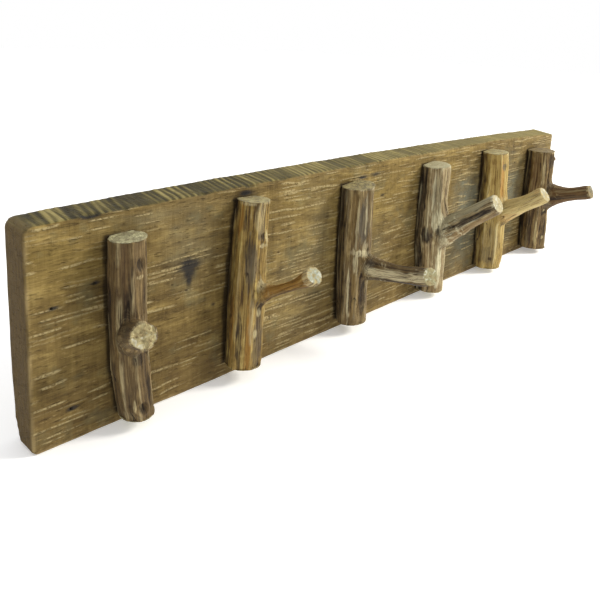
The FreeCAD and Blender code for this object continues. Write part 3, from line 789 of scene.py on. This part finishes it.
def roughenBranch(mesh, b, seed):
    co = points(mesh)
    n = normals(mesh)
    stem, prong, share, path = branchPlaces(co, b)
    lift = np.zeros(len(co))

    def around(size, key, noise=grain):  # noise in space, the same in every direction
        return noise(co[:, 0] / size, co[:, 1] / size, co[:, 2] / size, key)
    onStem = 1 - share
    strands = []
    for part in (stem, prong):
        arc = np.radians(part["angle"]) * part["r"]
        v = part["along"]
        wander = 2.5 * grain(arc / 30, v / 35, seed, seed)
        fine = grain((arc + wander) / 1.9, v / 26, seed, seed + 1)
        broad = grainStack((arc + wander) / 6.5, v / 48, seed, seed + 2, 2)
        gap = np.abs(grain((arc + wander) / 5.2, v / 40, seed, seed + 3))
        crack = smooth(0.07, 0.0, gap) * smooth(0.0, 0.5, grain(arc / 12, v / 30, 7, seed + 4))
        sharp = 1 - 2 * np.abs(grain((arc + wander) / 3.2, v / 34, 8, seed + 5))
        strands.append((0.32 * fine + 0.42 * broad + 0.22 * sharp - 1.1 * crack, fine, broad, crack))
    relief, fine, broad, cracks = (s * onStem + q * share for s, q in zip(*strands))
    flats, ridge = hewnSides(stem["angle"], stem["along"], stem["r"], b["ridges"], seed)
    toThroat = np.linalg.norm(co - path[throatStep], axis=1)
    away = smooth(b["prongRadius"] * 1.1, b["prongRadius"] * 2.2, toThroat)
    swell = 0.8 * grain(stem["along"] / 26, stem["angle"] / 70, 2.5, seed + 22)
    swell = swell + 0.5 * grain(stem["along"] / 11, stem["angle"] / 45, 5.5, seed + 23)
    limbs = 0.6 * grain(prong["along"] / 16, prong["angle"] / 80, 3.5, seed + 24)
    lift += relief - flats * onStem * away + swell * onStem + limbs * share
    full, out = prong["full"], prong["along"]
    slim = smooth(12, 45, out) * smooth(full - 4, full - 30, out)
    lift -= b["waist"] * slim * share
    atTip = smooth(full - 11, full - 4, out) * share
    lift += atTip * (b.get("knob", 0) + 0.9 * b.get("tornTip", 1) * around(6, seed + 18, grainStack))
    for z, angle, size, depth in b["dents"]:
        d = np.hypot(stem["along"] - z, np.radians(stem["angle"] - angle) * stem["r"]) / size
        lift -= depth * np.exp(-d ** 2) * onStem
        lift += 0.5 * depth * np.exp(-((d - 1.35) / 0.35) ** 2) * onStem
    for z, angle, size, height in b["bumps"]:
        d = np.hypot(stem["along"] - z, np.radians(stem["angle"] - angle) * stem["r"]) / size
        lift += height * np.exp(-d ** 2) * onStem * (1 + 0.8 * around(2, seed + 8))
    toFork = np.linalg.norm(co - path[forkStep], axis=1)
    collar = np.exp(-((toFork - b["prongRadius"] - 5) / 6) ** 2) * b["swirl"]
    curl = around(9, seed + 9)
    arcs = 1 - np.abs(2 * ((toFork / 4.2 + 2.4 * curl) % 1) - 1) * 2
    lift += b.get("flare", 0) * np.exp(-((toFork - b["prongRadius"] - 3) / 10) ** 2)
    lift += collar * (0.25 * arcs + 0.3 * around(3, seed + 16))
    rows = np.array(b["stem"], float)
    topCut = smooth(0.75, 0.95, n[:, 2]) * smooth(-6, -3, co[:, 2] - rows[-1, 0]) * onStem
    footCut = smooth(0.75, 0.95, -n[:, 2]) * smooth(6, 3, co[:, 2] - rows[0, 0]) * onStem
    ahead = (path[-1] - path[-4]) / np.linalg.norm(path[-1] - path[-4])
    tipCut = smooth(0.7, 0.92, n @ ahead) * smooth(-5, -2.5, (co - path[-1]) @ ahead) * share
    cuts = np.maximum(np.maximum(topCut, footCut), tipCut)
    rough = 0.22 * around(2.2, seed + 10, grainStack)
    ragged = 0.7 * around(3.5, seed + 14, grainStack)
    lift = lift * (1 - cuts) + (rough + ragged * tipCut * b.get("tornTip", 1)) * cuts - 0.25
    most = 1.2 + b.get("knob", 0) + b.get("flare", 0)
    lift = np.clip(lift, -4.2, most) * smooth(face + 0.3, face - 3.5, co[:, 1])
    moved = co + n * lift[:, None]
    side = np.cross(ahead, [0, 0, 1.0])
    side /= np.linalg.norm(side)
    nearEnd = smooth(full - 30, full - 4, out) * share
    for direction, lean in zip((side, np.cross(side, ahead)), b.get("tipLean", (0, 0))):
        moved -= ahead * (nearEnd * ((co - path[-1]) @ direction) * lean)[:, None]
    moved[:, 1] = np.minimum(moved[:, 1], face - 0.02)
    moved = np.clip(moved, cadLow + 0.01, cadHigh - 0.01)
    setPoints(mesh, moved)
    # fibre coordinates, painted wear, painted shade and highlight, and cuts
    stemArc, prongArc = (np.radians(part["angle"]) * part["r"] for part in (stem, prong))
    arc = stemArc * onStem + prongArc * share
    along = stem["along"] * onStem + (prong["along"] + 300) * share
    addVector(mesh, "fibrePlace", np.c_[arc * mm, along * mm, np.full(len(co), seed * 0.37)])
    addVector(mesh, "ringPlace", np.c_[stem["away"] * mm * (1 - tipCut) + prong["away"] * mm * tipCut,
                                      np.radians(stem["angle"]) * 0.01, np.full(len(co), seed * 0.21)])
    addMask(mesh, "strand", 0.5 + 0.34 * fine + 0.3 * broad)
    # pale hewn ridges: painted highlight along the ridges, broken up like wear
    wearAndHighlight = smooth(-0.3, 0.4, grain(arc / 20, along / 24, 6, seed + 15))
    addMask(mesh, "ridge", b["ridgeLight"] * ridge * onStem * away * wearAndHighlight)
    addMask(mesh, "crack", cracks)
    kinds = {k: np.zeros(len(co)) for k in ("dark", "pale", "grey", "warm")}
    fray = 1 + 0.5 * grainStack(arc / 5, along / 14, 4, seed + 12)
    fray = fray + 0.6 * grain(arc / 1.5, along / 8, 4, seed + 13)
    for part, here, patches, end in ((stem, onStem, b["stemPatches"], 0),
                                     (prong, share, b["prongPatches"], full)):
        for v, angle, length, width, kind, strength in patches:
            v = v + end if v < 0 else v  # below 0 on a prong counts back from its tip
            turn = (part["angle"] - angle + 180) % 360 - 180
            d = ((part["along"] - v) / length) ** 2 + (turn / width) ** 2
            patch = strength * here * smooth(0.2, 0.62, np.exp(-d * fray))
            kinds[kind] = np.maximum(kinds[kind], patch)
    topRim = smooth(-4.2, -1.8, co[:, 2] - rows[-1, 0]) * (1 - topCut) * onStem
    topRim = topRim * smooth(-0.5, 0.3, grain(arc / 7, 1, 2, seed + 20))
    tipRim = smooth(-4.5, -2, (co - path[-1]) @ ahead) * (1 - tipCut) * share
    tipRim = tipRim * smooth(-0.4, 0.4, grain(arc / 3, 1, 2, seed + 21))
    growth = 0.55 * collar * smooth(-0.2, 1.0, arcs) * smooth(-0.3, 0.5, around(5, seed + 19))
    for pale in (0.85 * topRim, 0.8 * tipRim, growth):
        kinds["pale"] = np.maximum(kinds["pale"], pale)
    # painted shade in the angle between stem and plank, darker towards the plank
    fromPlank = face - co[:, 1] + 3 * grain(co[:, 0] / 9, 0, co[:, 2] / 22, seed + 17)
    kinds["dark"] = np.maximum(kinds["dark"], smooth(12, 3, fromPlank))
    for kind, values in kinds.items():
        addMask(mesh, kind, values)
    addMask(mesh, "sawCut", np.maximum(topCut, footCut))
    addMask(mesh, "tipCut", tipCut)


def branchWood(name, tones):
    t = {k: rgb(*v) for k, v in tones.items() if k != "lines"}
    w = Nodes(name)
    here = w.place("fibrePlace")
    fine = w.noise(w.stretch(here, (1100, 48, 1)), 1.0, 4, 0.66, 0.4)
    streak = w.noise(w.stretch(here, (420, 14, 1)), 1.0, 5, 0.62, 0.7)
    broad = w.noise(w.stretch(here, (120, 13, 1)), 1.0, 4, 0.6, 0.8)
    blotch = w.noise(w.place(), 95, 4, 0.6)
    value = w.blend((streak, 1.5), (w.mask("strand"), 0.5), (broad, 1.0), (fine, 0.8), (blotch, 0.7),
                    offset=-1.75)
    wood = w.ramp(value, (0.2, t["deep"]), (0.42, t["mid"]), (0.58, t["mid"]), (0.82, t["light"]))
    lines = w.ramp(streak, (0.36, 1.0), (0.44, 0.0))
    thread = w.ramp(w.noise(w.stretch(here, (620, 9, 3)), 1.0, 3, 0.55, 0.5), (0.6, 0.0), (0.68, 1.0))
    wood = w.mix(w.times(w.mask("warm"), 0.8), wood, t["warm"])
    grey = w.times(w.mask("grey"), w.ramp(fine, (0.35, 0.6), (0.6, 0.95)))
    wood = w.mix(grey, wood, t["grey"])
    wood = w.mix(w.times(lines, tones["lines"] / 100), wood, t["deep"])
    wood = w.mix(w.times(thread, 0.55), wood, t["light"])
    uneven = w.ramp(value, (0.35, 1.0), (0.8, 0.6))
    # dark patches: partly dark wood, partly painted shade and shadow on the stems' left sides, under
    # the prongs and in the angle against the plank
    wood = w.mix(w.times(w.mask("dark"), uneven), wood, t["bark"])
    paleFibre = w.ramp(fine, (0.4, 0.2), (0.56, 1.0))
    wood = w.mix(w.times(w.mask("pale"), paleFibre), wood, t["pale"])
    # painted highlight on the hewn ridges, with some wear
    wood = w.mix(w.times(w.mask("ridge"), paleFibre), wood, t["pale"])
    wood = w.mix(w.ramp(fine, (0.3, 0.6), (0.42, 0.0)), wood, t["bark"])
    wood = w.mix(w.times(w.mask("crack"), 0.9), wood, t["bark"])
    rings = w.noise(w.stretch(w.place("ringPlace"), (900, 60, 1)), 1.0, 3, 0.5)
    crumbs = w.noise(w.place(), 420, 4, 0.65)
    patchy = w.noise(w.place(), 150, 4, 0.6, 0.6)
    cut = w.mix(w.ramp(rings, (0.42, 0.4), (0.55, 0.0)), t["cut"], t["mid"])
    cut = w.mix(w.ramp(patchy, (0.42, 0.6), (0.58, 0.0)), cut, t["grey"])
    cut = w.mix(w.ramp(crumbs, (0.36, 0.6), (0.5, 0.0)), cut, t["mid"])
    wood = w.mix(w.mask("sawCut"), wood, cut)
    tip = w.mix(w.ramp(patchy, (0.38, 0.75), (0.56, 0.0)), t["tip"], t["light"])
    tip = w.mix(w.ramp(crumbs, (0.36, 0.5), (0.46, 0.0)), tip, t["mid"])
    tip = w.mix(w.ramp(patchy, (0.56, 0.0), (0.64, 0.7)), tip, rgb(214, 212, 192))
    wood = w.mix(w.mask("tipCut"), wood, tip)
    w.give(w.shader.inputs["Base Color"], wood)
    w.give(w.shader.inputs["Roughness"], w.ramp(streak, (0.3, 0.5), (0.7, 0.75)))
    w.shader.inputs["Specular IOR Level"].default_value = 0.26
    bump = w.bump(fine, 0.0009, 0.8)
    bump = w.bump(streak, 0.0014, 0.8, bump)
    bump = w.bump(crumbs, 0.0006, 0.6, bump)
    w.give(w.shader.inputs["Normal"], bump)
    return w.mat


def zincMetal(name, colour, roughness):
    w = Nodes(name)
    here = w.place()
    cloud = w.noise(here, 260, 5, 0.6)
    scratch = w.noise(w.stretch(here, (90, 90, 2400)), 1.0, 3, 0.6)
    duller = [0.72 * c for c in colour]
    metal = w.mix(w.ramp(cloud, (0.4, 0.0), (0.65, 0.6)), rgb(*colour), rgb(*duller))
    rust = w.ramp(w.noise(here, 90, 3, 0.5), (0.6, 0.0), (0.75, 0.5))
    metal = w.mix(rust, metal, rgb(110, 84, 58))
    w.give(w.shader.inputs["Base Color"], metal)
    w.shader.inputs["Metallic"].default_value = 0.9
    rough = w.ramp(scratch, (0.3, roughness - 0.08), (0.7, roughness + 0.12))
    w.give(w.shader.inputs["Roughness"], rough)
    w.give(w.shader.inputs["Normal"], w.bump(scratch, 0.0002, 0.4))
    return w.mat


plankMesh, plankCo = plankGrid(plank)
faceOutward(plankMesh)
plankCo = shapePlank(plankCo, plank)
setPoints(plankMesh, plankCo)
roughenPlank(plankMesh, plankCo, plank)
plankPiece = placePiece("sawnPlank", plankMesh)
cutPlank(plankPiece, plank)
paintPlank(plankPiece.data, plank)
for poly in plankPiece.data.polygons:
    poly.use_smooth = True
plankPiece.data.materials.clear()
plankPiece.data.materials.append(plankWood())
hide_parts("board")
print("plank", len(plankPiece.data.polygons), "faces")

for number, (node, b) in enumerate(branches.items()):
    piece = placePiece("branch_" + node[-1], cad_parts[node].data.copy())
    piece.data.materials.clear()
    grid = piece.modifiers.new("evenGrid", "REMESH")
    grid.mode = "VOXEL"
    grid.voxel_size = voxel * mm
    grid.use_smooth_shade = True
    mesh = bakeModifiers(piece)
    roughenBranch(mesh, b, 100 + 17 * number)
    mesh.materials.clear()
    mesh.materials.append(branchWood("branchWood" + node[-1], b["tones"]))
    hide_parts(node)
    print("branch", node, len(mesh.polygons), "faces")

metals = {"hook_screws": zincMetal("screwZinc", (194, 187, 162), 0.36)}
metals["hanger_screws"] = metals["hook_screws"]
metals["hanger_left"] = metals["hanger_right"] = zincMetal("hangerSteel", (160, 162, 164), 0.42)
for node, metal in metals.items():
    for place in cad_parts[node].material_slots:
        place.material = metal
print("hardware done")


studio = dict(
    floorTone=(246, 246, 246), floorSize=14, floorGlow=0.27,
    skyBright=1.0, skyDim=0.42, aim=(0, -0.05, 0),
    key=dict(place=(2.0, -1.6, 1.6), size=0.75, power=90, tint=(1.0, 0.97, 0.9)),
    rim=dict(place=(-1.9, -1.2, 1.0), size=1.6, power=5, tint=(0.95, 0.97, 1.0)),
)


def buildFloor(s):
    bpy.ops.mesh.primitive_grid_add(size=s["floorSize"], x_subdivisions=4, y_subdivisions=4,
                                    location=(0, 0, cadBox[0][2]))
    floor = bpy.context.object
    floor.name = "paleFloor"
    w = Nodes("paleFloor")
    w.give(w.shader.inputs["Base Color"], rgb(*s["floorTone"]))
    w.shader.inputs["Roughness"].default_value = 0.9
    w.shader.inputs["Specular IOR Level"].default_value = 0.1
    w.shader.inputs["Emission Color"].default_value = (1, 1, 1, 1)
    w.shader.inputs["Emission Strength"].default_value = s["floorGlow"]
    floor.data.materials.append(w.mat)


def buildLights(s):
    world = bpy.data.worlds.new("studioSky")
    bpy.context.scene.world = world
    world.use_nodes = True
    tree = world.node_tree
    sky = tree.nodes["Background"]
    sky.inputs["Color"].default_value = (1, 1, 1, 1)
    # bright behind and above the plank, dimmer on its left and front
    where = tree.nodes.new("ShaderNodeTexCoord")
    toward = tree.nodes.new("ShaderNodeVectorMath")
    toward.operation = "DOT_PRODUCT"
    toward.inputs[1].default_value = (0.55, 0.75, 0.36)
    level = tree.nodes.new("ShaderNodeMapRange")
    level.interpolation_type = "SMOOTHSTEP"
    for socket, value in zip(level.inputs[1:5], (-0.5, 0.45, s["skyDim"], s["skyBright"])):
        socket.default_value = value
    tree.links.new(where.outputs["Generated"], toward.inputs[0])
    tree.links.new(toward.outputs["Value"], level.inputs["Value"])
    tree.links.new(level.outputs["Result"], sky.inputs["Strength"])
    for name in ("key", "rim"):
        d = s[name]
        lamp = bpy.data.lights.new(name, "AREA")
        lamp.energy, lamp.size, lamp.color = d["power"], d["size"], d["tint"]
        obj = bpy.data.objects.new(name, lamp)
        obj.location = d["place"]
        aim = Vector(s["aim"]) - Vector(d["place"])
        obj.rotation_euler = aim.to_track_quat("-Z", "Y").to_euler()
        bpy.context.scene.collection.objects.link(obj)


viewpoint = dict(place=(-0.7173, -0.5634, 0.2762), heading=45.92, dip=12.16, roll=2.63,
                 lens=39.95, shift=-0.2167)


def buildCamera(v):
    a, d, r = (math.radians(v[k]) for k in ("heading", "dip", "roll"))
    ahead = Vector((math.sin(a) * math.cos(d), math.cos(a) * math.cos(d), -math.sin(d)))
    right = Vector((math.cos(a), -math.sin(a), 0))
    up = right.cross(ahead)
    x = right * math.cos(r) + up * math.sin(r)
    y = up * math.cos(r) - right * math.sin(r)
    cam = bpy.data.cameras.new("mainView")
    cam.lens, cam.sensor_width, cam.shift_y = v["lens"], 36, v["shift"]
    cam.clip_start = 0.02
    obj = bpy.data.objects.new("mainView", cam)
    obj.matrix_world = Matrix.Translation(v["place"]) @ Matrix((x, y, -ahead)).transposed().to_4x4()
    bpy.context.scene.collection.objects.link(obj)
    bpy.context.scene.camera = obj


buildFloor(studio)
buildLights(studio)
buildCamera(viewpoint)
bpy.context.scene.view_settings.view_transform = "Standard"
print("stage ready")
